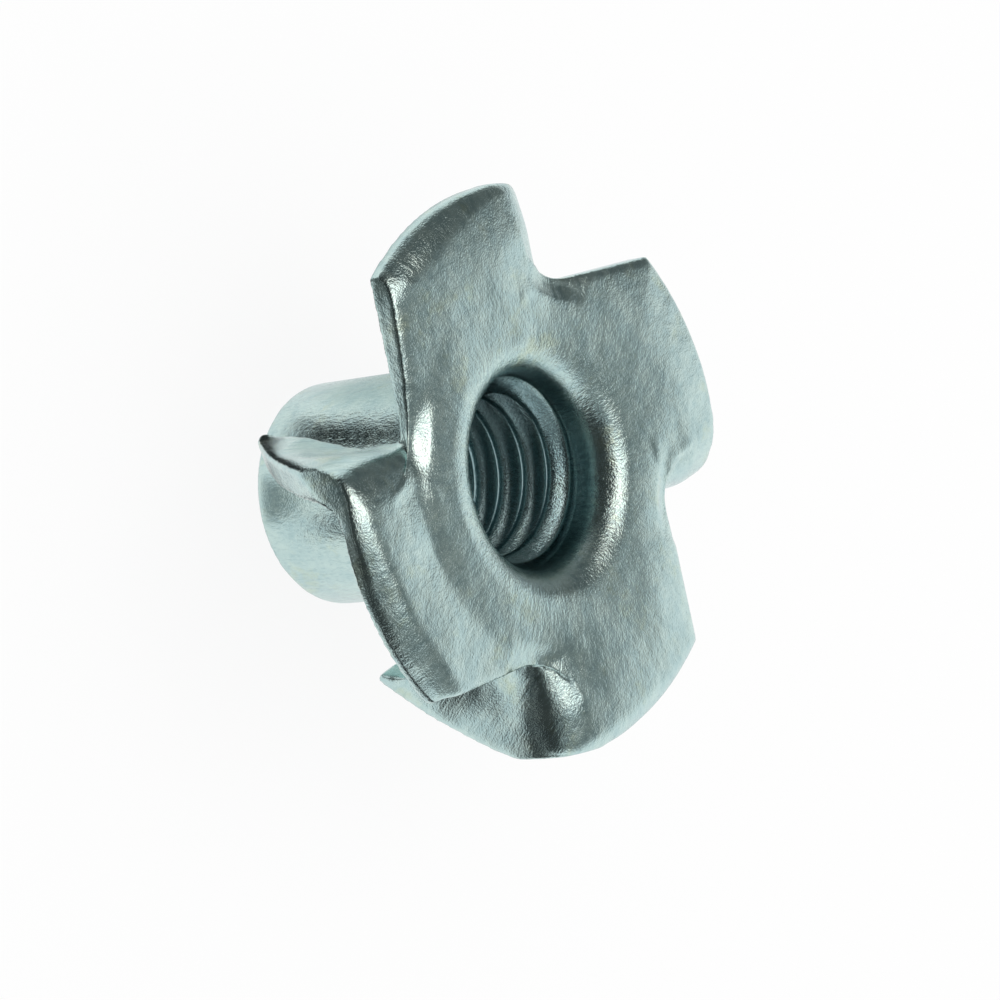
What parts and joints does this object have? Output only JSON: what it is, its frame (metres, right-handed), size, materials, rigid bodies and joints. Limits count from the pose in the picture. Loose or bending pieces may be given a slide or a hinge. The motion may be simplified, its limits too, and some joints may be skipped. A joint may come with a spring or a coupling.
{
  "type": "tee nut",
  "caption": "Pressed steel tee nut: threaded barrel, pinwheel flange and folded prongs that bite into wood.",
  "frame": {"origin": "centre of the barrel's open end, on the plane that the nut stands on", "axes": "+Z along the thread axis, from the barrel's end to the flange's face; +X towards the corner of the first lobe"},
  "size_m": [0.0176, 0.0176, 0.0094],
  "materials": {
    "plated_steel": "bright zinc plating, blue-grey, with die marks"
  },
  "bodies": {
    "root": {"tee_nut": "plated_steel"}
  },
  "joints": []
}
